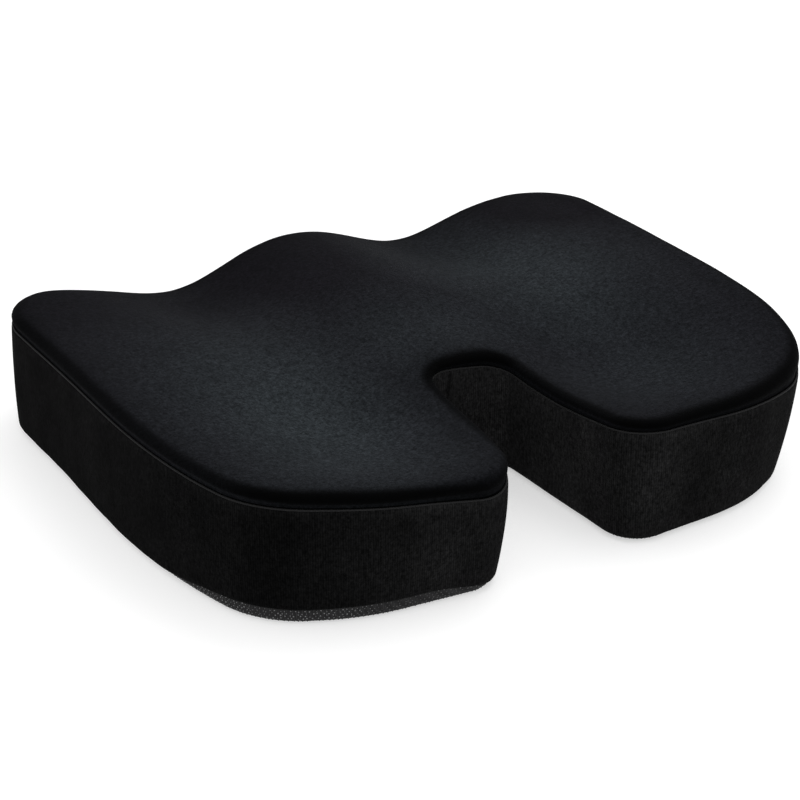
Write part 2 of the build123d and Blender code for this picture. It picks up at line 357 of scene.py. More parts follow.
def joined(tris, columns, stride, first, start):
    """Triangles of a filled loop, its own points on a mesh grid and the others from start on."""
    return [tuple(v * stride + first if v < columns else start + v for v in t) for t in tris]


def filled_rings(rings, step, fills):
    """Points and faces of rings round the cushion, some of them filled: (ring, lift) for each."""
    grid = np.stack(rings, 1)
    columns, rows = grid.shape[:2]
    verts = grid.reshape(-1, 3)
    faces = strip_faces(columns, rows, True)
    for ring, lift in fills:
        flat, tris = fill_loop(grid[:, ring, :2], step)
        faces += joined(tris, columns, rows, ring % rows, len(verts) - columns)
        verts = np.vstack([verts, lift(flat)[columns:]])
    return verts, faces


def thicken(piece, amount=CLOTH):
    """Gives cloth its thickness, behind its faces: those of the walls look into the cushion."""
    solid = piece.modifiers.new("thickness", "SOLIDIFY")
    solid.thickness = amount * MM
    solid.offset = -1.0
    solid.use_even_offset = False
    return piece


# ---- cloth simulation of the filled cover --------
# Rim of the top panel: inset from the outline, height in parts of its own.
RIM_KNOTS = [
    (1.3, -1.00), (2.4, -0.95), (0.9, -0.86), (1.6, -0.77), (0.5, -0.66), (0.0, -0.50),
    (0.4, -0.33), (2.0, -0.17), (4.8, -0.06), (9.0, -0.01), (18.0, 0.0),
]


def rim_rings(s, profile):
    """Rings of the rim at outline distances s, each an array (columns, 3)."""
    points, normals = outline_at(s)
    tall = rim_height(points)
    return [at_seat(points - normals * inset, share * tall) for inset, share in profile]


LEAN = 4.0                # how far the wall leans in from its top seam down to the hem
LEAN_SIDE = 3.8           # more of it on the right side, less on the left
SEAM_INSET = 1.3          # of the top seam, inside the outline
BULGE = 0.9               # outwards, half way up the wall
ZIPPER_INSET = 0.5        # of the straight wall beside the zipper


def wall_inset(points, normals, height, top):
    """How far inside the outline the wall is at a height: it bulges, then leans in to the hem."""
    level = np.clip(height / top, 0.0, 1.0)
    lean = LEAN + LEAN_SIDE * normals[:, 0]
    corner = hump(WALL_TUCK, points[:, 0], points[:, 1])
    turn = np.clip((HEM_R + DOT_HIGH - height) / HEM_R, 0.0, 1.0)
    rounding = HEM_R * (1.0 - np.sqrt(1.0 - turn * turn))
    inset = SEAM_INSET + lean * (1.0 - level) ** 1.5 + corner * (1.0 - level)
    inset = inset - BULGE * np.sin(math.pi * level)
    flat = beside_zipper(points, height)
    return inset * (1.0 - flat) + ZIPPER_INSET * flat + rounding


def beside_zipper(points, height):
    """How near outline points at a height are to the zipper, 0 to 1; the wall is straight there."""
    front = smooth_step((points[:, 1] - FRONT_Y + 5.0) / 4.0)
    return front * smooth_step((32.0 - np.abs(height - ZIP_Z)) / 24.0)


def on_wall(s, height, inset=0.0):
    """Points of the wall at outline distances s and a height, or this far inside it."""
    points, normals = outline_at(s)
    inset = inset + wall_inset(points, normals, height, seam_z(points))
    return at_height(points - normals * inset[:, None], height)


SIM_STEP = 6.0            # mesh size of the simulated cover
SIM_WALL_ROWS = 12
SIM_FRAMES = 20
SIM_CLOTH = dict(
    quality=5, mass=0.3, tension_stiffness=30, compression_stiffness=15, shear_stiffness=8,
    bending_stiffness=2.0, vertex_group_mass="hold", pin_stiffness=2.0, use_pressure=True,
    uniform_pressure_force=4.0,
)
MOST_SWELL = 3.0          # the simulated moves are held below this
NEAR_POINTS = 5           # of the simulated cover, whose moves a point shares
NEAR_BLEND = 0.6          # evens out their shares (mm)


def coarse_cover(step):
    """The closed cover as a light mesh for the simulation, with how firmly each point is held."""
    s = all_round(step)
    points, _ = outline_at(s)
    columns = len(s)
    top_z, low_z = seam_z(points), hem_z(points)
    last = SIM_WALL_ROWS - 1
    wall = [on_wall(s, low_z + (top_z - low_z) * (k / last)) for k in range(last + 1)]
    verts = np.stack(wall, 1).reshape(-1, 3).tolist()
    hold = [1.0, *[0.12] * (last - 1), 1.0] * columns
    faces = strip_faces(columns, SIM_WALL_ROWS, True)
    rings = np.stack(rim_rings(s, smooth_profile(RIM_KNOTS[4:], 5, SEAM_DROP)), 1)
    base = len(verts)
    rows = rings.shape[1]
    verts += rings.reshape(-1, 3).tolist()
    hold += [0.1] * (columns * rows)
    faces += [tuple(base + v for v in f) for f in strip_faces(columns, rows, True)]
    for i in range(columns):
        j = (i + 1) % columns
        seam = (i * SIM_WALL_ROWS + last, j * SIM_WALL_ROWS + last)
        faces.append((*seam, base + j * rows, base + i * rows))
    flat, tris = fill_loop(rings[:, -1, :2], step)
    faces += joined(tris, columns, rows, base + rows - 1, len(verts))
    verts += at_seat(flat).tolist()
    hold += [0.5] * len(flat)
    flat, tris = fill_loop(wall[0][:, :2], step * 1.5)
    faces += [t[::-1] for t in joined(tris, columns, SIM_WALL_ROWS, 0, len(verts))]
    verts += at_height(flat, LOW_HEM_Z).tolist()
    hold += [1.0] * len(flat)
    return np.array(verts), faces, hold


def simulate_cover():
    """Blows the closed cover up against its seams and returns (rest points, moves), in mm."""
    verts, faces, hold = coarse_cover(SIM_STEP)
    shell = new_object("cover_sim", verts, faces)
    face_outwards(shell)
    group = shell.vertex_groups.new(name="hold")
    for i, weight in enumerate(hold):
        group.add([i], weight, "REPLACE")
    cloth = shell.modifiers.new("cloth", "CLOTH")
    for key, value in SIM_CLOTH.items():
        setattr(cloth.settings, key, value)
    cloth.settings.effector_weights.gravity = 0.0
    cloth.point_cache.frame_start = 1
    cloth.point_cache.frame_end = SIM_FRAMES
    scene = bpy.context.scene
    for step in range(1, SIM_FRAMES + 1):
        scene.frame_set(step)
    graph = bpy.context.evaluated_depsgraph_get()
    result = shell.evaluated_get(graph).to_mesh()
    moved = np.zeros(len(result.vertices) * 3)
    result.vertices.foreach_get("co", moved)
    moves = moved.reshape(-1, 3) / MM - verts
    scene.frame_set(1)
    bpy.data.objects.remove(shell)
    length = np.linalg.norm(moves, axis=1, keepdims=True)
    print("simulated cover moves up to", round(float(length.max()), 2), "mm")
    moves *= np.minimum(1.0, MOST_SWELL / np.maximum(length, 1e-9))
    return verts, moves


SWELL = None
rest, moves = simulate_cover()
SWELL = (search_tree(rest), moves)


def swollen(points):
    """Points carried along by the simulated cover."""
    if SWELL is None:
        return points
    tree, moves = SWELL
    out = np.array(points, float)
    for i, p in enumerate(points):
        near = tree.find_n(p, NEAR_POINTS)
        weight = np.array([1.0 / (d + NEAR_BLEND) ** 2 for _, _, d in near])
        shift = sum(w * moves[k] for w, (_, k, _) in zip(weight, near)) / weight.sum()
        out[i] += shift
    return out


# ---- materials -----------------------------------
class Shader:
    """A short way to write a node material.

    Values given by keyword are a node's settings in lower case, and its inputs with a capital and
    _ for a space; an input takes a value or another node's output.
    """

    def __init__(self, name):
        self.material = bpy.data.materials.new(name)
        self.material.use_nodes = True
        self.tree = self.material.node_tree
        self.surface = self.tree.nodes["Principled BSDF"]

    def feed(self, socket, source):
        if isinstance(source, bpy.types.NodeSocket):
            self.tree.links.new(source, socket)
        else:
            socket.default_value = source

    def fill_in(self, made, values):
        for key, value in values.items():
            if key[0].islower():
                setattr(made, key, value)
            else:
                self.feed(made.inputs[key.replace("_", " ")], value)
        return made

    def node(self, kind, **values):
        return self.fill_in(self.tree.nodes.new(kind), values)

    def set(self, **values):
        """Inputs of the surface."""
        self.fill_in(self.surface, values)
        return self.material

    def math(self, operation, a, b):
        made = self.node("ShaderNodeMath", operation=operation)
        self.feed(made.inputs[0], a)
        self.feed(made.inputs[1], b)
        return made.outputs[0]

    def coordinates(self, source="object", stretch=(1, 1, 1)):
        """Object or UV coordinates, stretched."""
        if source == "object":
            out = self.node("ShaderNodeTexCoord").outputs["Object"]
        else:
            out = self.node("ShaderNodeUVMap", uv_map=source).outputs[0]
        return self.node("ShaderNodeMapping", Scale=stretch, Vector=out).outputs[0]

    def noise(self, scale, detail=2.0, rough=0.5, source="object", stretch=(1, 1, 1)):
        place = self.coordinates(source, stretch)
        made = self.node(
            "ShaderNodeTexNoise", Scale=scale, Detail=detail, Roughness=rough, Vector=place
        )
        return made.outputs["Fac"]

    def cells(self, scale):
        made = self.node("ShaderNodeTexVoronoi", Scale=scale, Vector=self.coordinates())
        return made.outputs["Distance"]

    def wave(self, scale, distortion, direction, source="object", stretch=(1, 1, 1), fine=1.0):
        made = self.node(
            "ShaderNodeTexWave", wave_type="BANDS", bands_direction=direction, Scale=scale,
            Distortion=distortion, Detail_Scale=fine, Vector=self.coordinates(source, stretch),
        )
        return made.outputs["Fac"]

    def tone(self, name):
        return self.node("ShaderNodeAttribute", attribute_name=name).outputs["Fac"]

    def around_one(self, source, swing):
        """A factor that varies with source (0..1) around 1 by plus or minus swing."""
        centred = self.math("SUBTRACT", source, 0.5)
        return self.math("ADD", self.math("MULTIPLY", centred, 2 * swing), 1.0)

    def scaled(self, factors):
        """The socket of a colour that becomes the base colour, multiplied by each factor.

        A factor is a socket, or a pair of a source and how far it swings the colour.
        """
        out = 1.0
        for factor in factors:
            if isinstance(factor, tuple):
                factor = self.around_one(*factor)
            out = self.math("MULTIPLY", out, factor)
        made = self.node("ShaderNodeVectorMath", operation="SCALE", Scale=out)
        self.set(Base_Color=made.outputs[0])
        return made.inputs[0]

    def colour(self, rgb, *factors):
        """The base colour, multiplied by each factor."""
        self.feed(self.scaled(factors), rgb)

    def blend_colour(self, mix, dark, light, *factors):
        """A base colour between dark and light, multiplied by each factor."""
        ramp = self.node("ShaderNodeMix", data_type="RGBA")
        for index, value in ((0, mix), (6, (*dark, 1.0)), (7, (*light, 1.0))):
            self.feed(ramp.inputs[index], value)
        self.feed(self.scaled(factors), ramp.outputs[2])

    def roughness(self, source, low, high):
        made = self.node("ShaderNodeMapRange", Value=source, To_Min=low, To_Max=high)
        self.set(Roughness=made.outputs[0])

    def bump(self, source, depth_mm, strength):
        made = self.node(
            "ShaderNodeBump", Strength=strength, Distance=depth_mm * MM, Height=source
        )
        self.set(Normal=made.outputs[0])


def velour_top():
    m = Shader("velour_top")
    blotch = m.noise(16.0, 3.0, 0.55)
    brushed = m.noise(70.0, 3.0, 0.6, stretch=(1.0, 0.35, 1.0))
    pile = m.noise(640.0, 3.0, 0.75)
    grain = m.noise(300.0, 2.0, 0.6)
    # Dark to light by the painted light, then scaled by the painted shade.
    m.blend_colour(
        m.tone("painted_light"), (0.0052, 0.0048, 0.0064), (0.0184, 0.0217, 0.0244),
        (blotch, 0.22), (brushed, 0.16), (pile, 1.5), (grain, 0.8), m.tone("shade"),
    )
    m.roughness(pile, 0.84, 0.99)
    m.bump(m.math("ADD", pile, m.math("MULTIPLY", grain, 0.8)), 0.35, 0.8)
    return m.set(
        Specular_IOR_Level=0.02, Sheen_Weight=0.006, Sheen_Roughness=0.5,
        Sheen_Tint=(0.72, 0.80, 0.90, 1.0),
    )


def velour_band():
    m = Shader("velour_band")
    rib = m.wave(215.0, 2.2, "X", "cloth", fine=1.4)
    nap = m.noise(560.0, 3.0, 0.65, "cloth", (1.0, 0.30, 1.0))
    blotch = m.noise(30.0, 3.0, 0.6, "cloth", (1.0, 0.7, 1.0))
    pile = m.noise(480.0, 4.0, 0.8)
    # The shade attribute carries the walls' painted light and shade.
    m.colour(
        (0.0052, 0.0052, 0.0053),
        (rib, 0.24), (nap, 1.0), (blotch, 0.8), (pile, 1.8), m.tone("shade"),
    )
    m.roughness(pile, 0.84, 0.99)
    height = m.math("ADD", m.math("MULTIPLY", rib, 0.4), m.math("ADD", nap, pile))
    m.bump(height, 0.22, 0.7)
    return m.set(
        Specular_IOR_Level=0.01, Sheen_Weight=0.0008, Sheen_Roughness=0.5,
        Sheen_Tint=(0.85, 0.87, 0.92, 1.0),
    )


def nonslip_cloth():
    m = Shader("nonslip_cloth")
    knit = m.math("MULTIPLY", m.wave(320.0, 0.6, "X"), m.wave(320.0, 0.6, "Y"))
    fibre = m.noise(1500.0, 2.0, 0.7)
    mottle = m.noise(40.0)
    m.colour((0.020, 0.020, 0.0205), (knit, 0.4), (fibre, 0.4), (mottle, 0.2))
    m.roughness(fibre, 0.8, 0.97)
    m.bump(m.math("ADD", knit, m.math("MULTIPLY", fibre, 0.4)), 0.2, 0.8)
    return m.set(Specular_IOR_Level=0.08, Sheen_Weight=0.02, Sheen_Roughness=0.4)


def silicone_dots():
    m = Shader("silicone_dots")
    speck = m.noise(700.0)
    # The shade attribute carries painted shade.
    m.colour((0.11, 0.11, 0.113), (speck, 0.5), m.tone("shade"))
    m.roughness(speck, 0.35, 0.6)
    m.bump(speck, 0.05, 0.5)
    return m.set(Specular_IOR_Level=0.5)


def thread(name, rgb):
    m = Shader(name)
    twist = m.wave(480.0, 1.0, "DIAGONAL", stretch=(1.0, 1.0, 1.6))
    fuzz = m.noise(1800.0, 2.0, 0.6)
    m.colour(rgb, (twist, 0.35), (fuzz, 0.3))
    m.roughness(fuzz, 0.55, 0.85)
    m.bump(m.math("ADD", twist, fuzz), 0.12, 0.8)
    return m.set(Specular_IOR_Level=0.10, Sheen_Weight=0.02, Sheen_Roughness=0.35)


def woven_tape():
    m = Shader("woven_tape")
    warp = m.wave(420.0, 0.3, "X", stretch=(1, 0, 1))
    weft = m.wave(260.0, 0.3, "Z", stretch=(1, 0, 1))
    fibre = m.noise(1600.0, 2.0, 0.6)
    weave = m.math("MULTIPLY", warp, weft)
    m.colour((0.012, 0.012, 0.013), (weave, 0.45), (fibre, 0.3))
    m.roughness(fibre, 0.65, 0.9)
    m.bump(m.math("ADD", weave, m.math("MULTIPLY", fibre, 0.4)), 0.12, 0.9)
    return m.set(Specular_IOR_Level=0.3)


def nylon():
    m = Shader("nylon")
    streak = m.noise(900.0)
    m.colour((0.017, 0.017, 0.018), (streak, 0.25))
    m.roughness(streak, 0.28, 0.45)
    m.bump(streak, 0.03, 0.4)
    return m.set(Specular_IOR_Level=0.5)


def black_metal():
    m = Shader("black_metal")
    wear = m.noise(500.0, 4.0, 0.65)
    fine = m.noise(2600.0, 2.0, 0.6)
    m.colour((0.03, 0.03, 0.032), (wear, 0.5))
    m.roughness(wear, 0.22, 0.5)
    m.bump(fine, 0.02, 0.5)
    return m.set(Metallic=0.75, Specular_IOR_Level=0.5, Coat_Weight=0.2, Coat_Roughness=0.2)


def open_foam():
    m = Shader("open_foam")
    cell = m.cells(700.0)
    large = m.noise(60.0, 3.0, 0.6)
    m.colour((0.74, 0.71, 0.63), (cell, 0.18), (large, 0.08))
    m.roughness(large, 0.85, 0.98)
    m.bump(cell, 0.4, 0.8)
    return m.set(Specular_IOR_Level=0.2, Subsurface_Weight=0.1)


def satin_label():
    m = Shader("satin_label")
    weave = m.wave(600.0, 0.2, "Z")
    fibre = m.noise(1400.0)
    m.colour((0.78, 0.78, 0.75), (weave, 0.08), (fibre, 0.08))
    m.roughness(fibre, 0.45, 0.65)
    m.bump(weave, 0.04, 0.6)
    return m.set(Specular_IOR_Level=0.4)


VELOUR_TOP = velour_top()
VELOUR_BAND = velour_band()
NONSLIP = nonslip_cloth()
DOTS = silicone_dots()
THREAD = thread("thread", (0.0140, 0.0140, 0.0146))
WELT = thread("welt_thread", (0.0085, 0.0085, 0.0088))
TAPE = woven_tape()
NYLON = nylon()
METAL = black_metal()
FOAM = open_foam()
LABEL = satin_label()


def finish_piece(piece, material, slot, *nodes):
    """Material, body and the CAD nodes the piece stands for; the slot is not used."""
    piece.data.materials.append(material)
    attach(piece, BODY)
    if nodes:
        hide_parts(*nodes)
    return piece


# ---- top panel -----------------------------------
RIM_ROWS = 22
TOP_STEP = 3.0            # mesh size of the top panel inside its rim
PAST_RIM = 40.0           # distance from the seam that stands for all of the middle


def cloth_unevenness(points):
    """Small rises and dips of a fitted cover over foam, in mm."""
    return 0.45 * ripple(points, 55.0, 1) + 0.16 * ripple(points, 17.0, 2)


def painted_seat_light(x, y):
    """Painted light and shade on the seat, 0 to 1: lightest where it is sat on, darkest on the
    pommel.
    """
    lightest = np.maximum.reduce([hump(place, x, y) for place in PAINTED_LIGHT_PATCHES])
    darker = sum(hump(place, x, y) for place in PAINTED_SHADE_PATCHES)
    return np.clip(0.14 + 0.86 * lightest - darker, 0.0, 1.0)


def edge_distance(points):
    """Distance from plan points to the outline (mm)."""
    ring, _ = outline_at(np.arange(0, PERIMETER, 3.0))
    tree = search_tree(at_height(ring, 0.0))
    return np.array([tree.find((p[0], p[1], 0.0))[2] for p in points])


def top_panel():
    """The velour panel: painted shade makes it dark by its seam, and a painted highlight gives it a
    lighter ridge where it turns over the rim.
    """
    s = all_round()
    profile = smooth_profile(RIM_KNOTS, RIM_ROWS, SEAM_DROP)
    verts, faces = filled_rings(rim_rings(s, profile), TOP_STEP, [(-1, at_seat)])
    centre = len(verts) - len(s) * RIM_ROWS
    steps = np.linalg.norm(np.diff(profile * [1.0, SEAM_DROP], axis=0), axis=1)
    arc = np.concatenate([[0.0], np.cumsum(steps)])
    arcs = np.concatenate([np.tile(arc, len(s)), np.full(centre, PAST_RIM)])
    edge, normals = outline_at(s)
    x, y, facing = edge[:, 0], edge[:, 1], normals[:, 1]
    # Painted shade on the rim: darkest by the seam, less so where it faces forward and on the left,
    # and narrower at the left lobe's inner corner.
    turned = smooth_step(0.5 + 0.75 * facing)
    left = smooth_step((-x - 185.0) / 25.0) * bell(y + 80.0, 60.0)
    inner = bell(x + 60.0, 45.0) * bell(y + 190.0, 40.0)
    side = 1.0 - facing ** 2
    lighter = 0.36 - 0.14 * smooth_step((x + 110.0) / 60.0) + 0.16 * side
    darkest, dark_wide, lighter, side = (
        np.concatenate([np.repeat(values, RIM_ROWS), np.zeros(centre)])
        for values in (0.03 + 0.24 * turned + 0.14 * left, 12.0 - 6.0 * inner, lighter, side)
    )
    shade = darkest + (1.0 - darkest) * smooth_step((arcs - dark_wide) / (10.0 - 4.0 * side))
    # Painted highlight: a lighter ridge where the panel turns over the rim, wider on the sides.
    ridge = smooth_step((arcs - 0.8) / 0.8) * smooth_step((6.2 + 1.5 * side - arcs) / 2.6)
    shade = shade + lighter * ridge
    # Painted shade: darker within some 34 mm of the outline.
    shade = shade * (0.74 + 0.26 * smooth_step(edge_distance(verts) / 34.0))
    free = smooth_step((arcs - 2.5) / 8.0)
    verts = swollen(verts)
    verts[:, 2] += cloth_unevenness(verts) * free
    # Painted shade: darker towards the front.
    shade = shade * (1.0 - 0.22 * smooth_step((verts[:, 1] - 70.0) / 90.0))
    # Painted light and shade of the seat.
    painted_light = painted_seat_light(verts[:, 0], verts[:, 1])
    return thicken(new_object("cover_top_panel", verts, faces, verts[:, :2] * MM, shade, painted_light))


# ---- bands ---------------------------------------
SEAM_SLANT = 6.0          # the seam in the cut-out leans over by this at its top
BAND_PROUD = 0.35         # a band stands this proud of the wall's even form
EDGE_SUNK = 0.75          # and is sunk by this along its seams
END_SUNK = 0.9            # and by this more at its ends
ROW_STEP = 2.0            # between the mesh rows up the wall


def wall_unevenness(points):
    """Small upright folds of the wall, in mm outwards."""
    folds = 0.28 * ripple(points * [1, 1, 0.35], 22.0, 3)
    return folds + 0.12 * ripple(points * [1, 1, 0.25], 7.0, 4)


def span(start, end):
    """Outline distances from start to end in even steps."""
    count = max(2, int(round((end - start) / COLUMN_STEP)) + 1)
    return np.linspace(start, end, count)


def cutout_seam_s():
    """Outline distance of the seam in the cut-out, left of its middle."""
    tries = np.linspace(PERIMETER / 2, PERIMETER / 2 + 40, 400)
    points, _ = outline_at(tries)
    return tries[np.argmin(np.abs(points[:, 0] - CUTOUT_SEAM_X))]


SEAM_LEFT = cutout_seam_s()


def band_piece(name, s, bottom, top):
    """A wall strip over outline distances s between heights bottom and top (arrays or numbers)."""
    columns = len(s)
    rows = max(8, int(round(float(np.max(top - bottom)) / ROW_STEP)))
    run = np.minimum(np.arange(columns), np.arange(columns)[::-1]) * COLUMN_STEP
    s, run, bottom, top = (
        np.repeat(np.broadcast_to(values, columns), rows) for values in (s, run, bottom, top)
    )
    points, normals = outline_at(s)
    full_top = seam_z(points)
    height = bottom + (top - bottom) * np.tile(np.linspace(0, 1, rows), columns)
    out = EDGE_SUNK * smooth_step(np.minimum(height - bottom, top - height) / 2.0)
    out = out + BAND_PROUD - EDGE_SUNK - END_SUNK * (1 - smooth_step(run / 3.0))
    out = out - wall_inset(points, normals, height, full_top)
    along = np.column_stack([normals[:, 1], -normals[:, 0]])
    slant = SEAM_SLANT * (height / full_top) ** 2 * bell(s - SEAM_LEFT, 16.0)
    plan = points + normals * out[:, None] - along * slant[:, None]
    verts = swollen(at_height(plan, height))
    verts[:, :2] += normals * wall_unevenness(verts)[:, None]
    # Painted light and shade of the wall, with painted shade darker still at the band's ends.
    shade = wall_shade(points, top - verts[:, 2]) * (0.5 + 0.5 * smooth_step(run / 1.8))
    uv = np.column_stack([s, height]) * MM
    return thicken(new_object(name, verts, strip_faces(columns, rows, False), uv, shade))


def wall_shade(points, below_top):
    """Painted light and shade on the wall: darker on the left and at the left lobe's back corner,
    lighter in the cut-out, at the backs of the lobes and by the top seam except in the cut-out.
    """
    x, y = points[:, 0], points[:, 1]
    left = smooth_step((-x - 85.0) / 85.0)
    cutout = smooth_step((48.0 - np.abs(x)) / 12.0) * smooth_step((y + 178.0) / 20.0)
    cutout = cutout * smooth_step((0.0 - y) / 20.0)
    back = smooth_step((-y - 150.0) / 25.0)
    left_lobe = 0.08 * bell(x + 105.0, 40.0)
    right_lobe = 0.34 * bell(x - 58.0, 18.0)
    corner = 0.18 * bell(x + 192.0, 22.0) * bell(y + 152.0, 30.0)
    light = 1.0 - 0.40 * left + 0.75 * cutout + (left_lobe + right_lobe) * back - corner
    return light * (1.0 + (0.35 - 0.45 * cutout) * (1.0 - smooth_step(below_top / 9.0)))


# ---- underside -----------------------------------
UNDER_CLOTH = 0.9         # thickness of the non-slip cloth
UNDER_STEP = 6.0          # mesh size where it lies flat
UNDER_ROWS = 12           # rows of it that turn up the wall


def hem_line():
    """Points of the hem, where the wall meets the underside's cloth."""
    s = all_round()
    return on_wall(s, hem_z(outline_at(s)[0]))


def bottom_cloth():
    """The non-slip cloth: flat below, rounded up the wall to the hem."""
    s = all_round()
    points, normals = outline_at(s)
    rise = hem_z(points) - DOT_HIGH
    rings = []
    for t in np.linspace(0.0, 1.0, UNDER_ROWS):
        height = DOT_HIGH + rise * (1.0 - t) ** 1.6
        rings.append(on_wall(s, height, 0.5 if t == 0.0 else 0.0))
    foot = rings[-1][:, :2]
    rings += [at_height(foot - normals * more, DOT_HIGH) for more in (3.0, 8.0)]
    fills = [(-1, lambda flat: at_height(flat, DOT_HIGH))]
    verts, faces = filled_rings(rings, UNDER_STEP, fills)
    return new_object("cover_underside", verts, faces, verts[:, :2] * MM)


FULL_DOME = ((1.0, 0.0), (0.86, 0.6), (0.45, 1.0))   # radius and lift of its rings, in parts
LOW_DOME = ((1.0, 0.0), (0.55, 1.0))
DOT_RADIUS = 0.6
DOT_PITCH = 4.2
DOT_FIELD = np.array([(-230.0, -195.0), (230.0, 195.0)])   # corners of the rows of dots
HEM_DOT_RADIUS = 0.42
HEM_DOT_HIGH = 0.3
HEM_DOT_SPACING = 3.1
HEM_DOT_ROWS = (1.1, 2.6, 4.3, 6.0, 7.7, 9.4)   # heights (mm)
HEM_DOT_STRAY = (0.45, 0.25)   # how far they stray from their rows, along and up
HEM_DOT_CLEAR = 0.8       # of the hem above them


def add_dot(verts, faces, place, normal, radius, height, sides, dome):
    """A low dome on the cloth at place, pointing along normal."""
    across = normal.orthogonal().normalized()
    along = normal.cross(across)
    base = len(verts)
    for size, lift in dome:
        for k in range(sides):
            a = 2 * math.pi * k / sides
            verts.append(
                place + (across * math.cos(a) + along * math.sin(a)) * (radius * size)
                + normal * (height * lift)
            )
    for ring in range(len(dome) - 1):
        for k in range(sides):
            j = (k + 1) % sides
            a, b = base + ring * sides, base + (ring + 1) * sides
            faces.append((a + k, a + j, b + j, b + k))
    faces.append(tuple(base + (len(dome) - 1) * sides + k for k in range(sides)))
    faces.append(tuple(base + k for k in reversed(range(sides))))


def underside_dots():
    """Dots on the flat underside, in staggered rows."""
    loop = on_wall(np.arange(0, PERIMETER, 4.0), DOT_HIGH, 1.0)[:, :2]
    verts, faces = [], []
    down = Vector((0, 0, -1))
    for x, y in staggered(*DOT_FIELD, DOT_PITCH, loop):
        add_dot(verts, faces, Vector((x, y, DOT_HIGH)), down, DOT_RADIUS, DOT_HIGH, 6, LOW_DOME)
    return new_object("nonslip_dots", verts, faces, None, np.ones(len(verts)))


def hem_dots():
    """Dots on the cloth where it turns up the wall, row above row up to the hem."""
    random = np.random.default_rng(7)
    verts, faces = [], []
    count = int(PERIMETER / HEM_DOT_SPACING)
    for row, height in enumerate(HEM_DOT_ROWS):
        s = (np.arange(count) + 0.5 * (row % 2)) * PERIMETER / count
        s += random.normal(0, HEM_DOT_STRAY[0], count)
        points, normals = outline_at(s)
        top, low = seam_z(points), hem_z(points)
        z = height + random.normal(0, HEM_DOT_STRAY[1], count)
        inset = wall_inset(points, normals, z, top)
        slope = (wall_inset(points, normals, z + 0.1, top) - inset) / 0.1
        for i in np.nonzero(z < low - HEM_DOT_CLEAR)[0]:
            out = Vector((normals[i][0], normals[i][1], 0.0))
            direction = (out + Vector((0, 0, slope[i]))).normalized()
            place = Vector((*points[i], z[i])) - out * (inset[i] + 0.02)
            size = HEM_DOT_RADIUS * random.uniform(0.6, 1.25)
            add_dot(verts, faces, place, direction, size, HEM_DOT_HIGH, 8, FULL_DOME)
    # Painted shade: the dots darken from x = -165 mm inward, down to 0.3 from x = -115 mm.
    shade = [0.30 + 0.70 * float(smooth_step((-v[0] - 115.0) / 50.0)) for v in verts]
    return new_object("nonslip_hem_dots", verts, faces, None, shade)


# ---- tubes: welt, stitches, coils ----------------
def tube(name, paths, radius, sides, closed=False):
    """Round tubes along lists of points (mm)."""
    verts, faces = [], []
    for path in paths:
        path = np.asarray(path, float)
        ahead = np.roll(path, -1, axis=0) - np.roll(path, 1, axis=0)
        if not closed:
            ahead[0], ahead[-1] = path[1] - path[0], path[-1] - path[-2]
        ahead /= np.linalg.norm(ahead, axis=1, keepdims=True)
        side = np.cross(ahead, (0.0, 0.0, 1.0))
        side[np.linalg.norm(side, axis=1) < 1e-3] = (1.0, 0.0, 0.0)
        side /= np.linalg.norm(side, axis=1, keepdims=True)
        up = np.cross(side, ahead)
        base = len(verts)
        count = len(path)
        taper = np.ones(count)
        if not closed and count > 4:
            taper[0] = taper[-1] = 0.45
        for i in range(count):
            for a in 2 * math.pi * np.arange(sides) / sides:
                spoke = side[i] * math.cos(a) + up[i] * math.sin(a)
                verts.append(path[i] + spoke * radius * taper[i])
        for i in range(count if closed else count - 1):
            a, b = base + i * sides, base + (i + 1) % count * sides
            for k in range(sides):
                m = (k + 1) % sides
                faces.append((a + k, a + m, b + m, b + k))
        if not closed:
            faces.append(tuple(base + k for k in reversed(range(sides))))
            faces.append(tuple(base + (count - 1) * sides + k for k in range(sides)))
    return new_object(name, verts, faces)


def seam_path(out):
    """The top seam's line, moved outwards."""
    points, normals = outline_at(all_round())
    return at_height(points + normals * out, seam_z(points))


def dashes(start, end, length, gap, place):
    """Short stitches between two distances; place gives a point from a distance and a rise."""
    paths = []
    t = start
    while t + length < end:
        paths.append([place(t + length * k / 4, math.sin(math.pi * k / 4)) for k in range(5)])
        t += length + gap
    return paths


# ---- build the soft pieces -----------------------
WELT_RADIUS = 0.6
WELT_OUT = 0.85           # of the welt's middle, from the top seam
HEM_THREAD_RADIUS = 0.28

top = top_panel()
face_outwards(top)
finish_piece(top, VELOUR_TOP, "velour", "top_panel")

for name, start, end, node in (
    ("cover_band_right", FRONT_SEAM_X, SEAM_LEFT, "side_band_right"),
    ("cover_band_left", SEAM_LEFT, PERIMETER - FRONT_SEAM_X, "side_band_left"),
):
    band_s = span(start, end)
    edge, _ = outline_at(band_s)
    band = band_piece(name, band_s, hem_z(edge), seam_z(edge))
    finish_piece(band, VELOUR_BAND, "velour_band", node)

front_s = span(-FRONT_SEAM_X, FRONT_SEAM_X)
edge, _ = outline_at(front_s)
upper = band_piece("cover_front_upper", front_s, SLOT_TOP, seam_z(edge))
finish_piece(upper, VELOUR_BAND, "velour_band", "front_band_upper")
lower = band_piece("cover_front_lower", front_s, hem_z(edge), SLOT_BOTTOM)
finish_piece(lower, VELOUR_BAND, "velour_band", "front_band_lower")

under = bottom_cloth()
face_outwards(under)
thicken(under, UNDER_CLOTH)
finish_piece(under, NONSLIP, "nonslip_fabric", "bottom_panel")
for dots in (underside_dots(), hem_dots()):
    finish_piece(dots, DOTS, "nonslip_fabric")

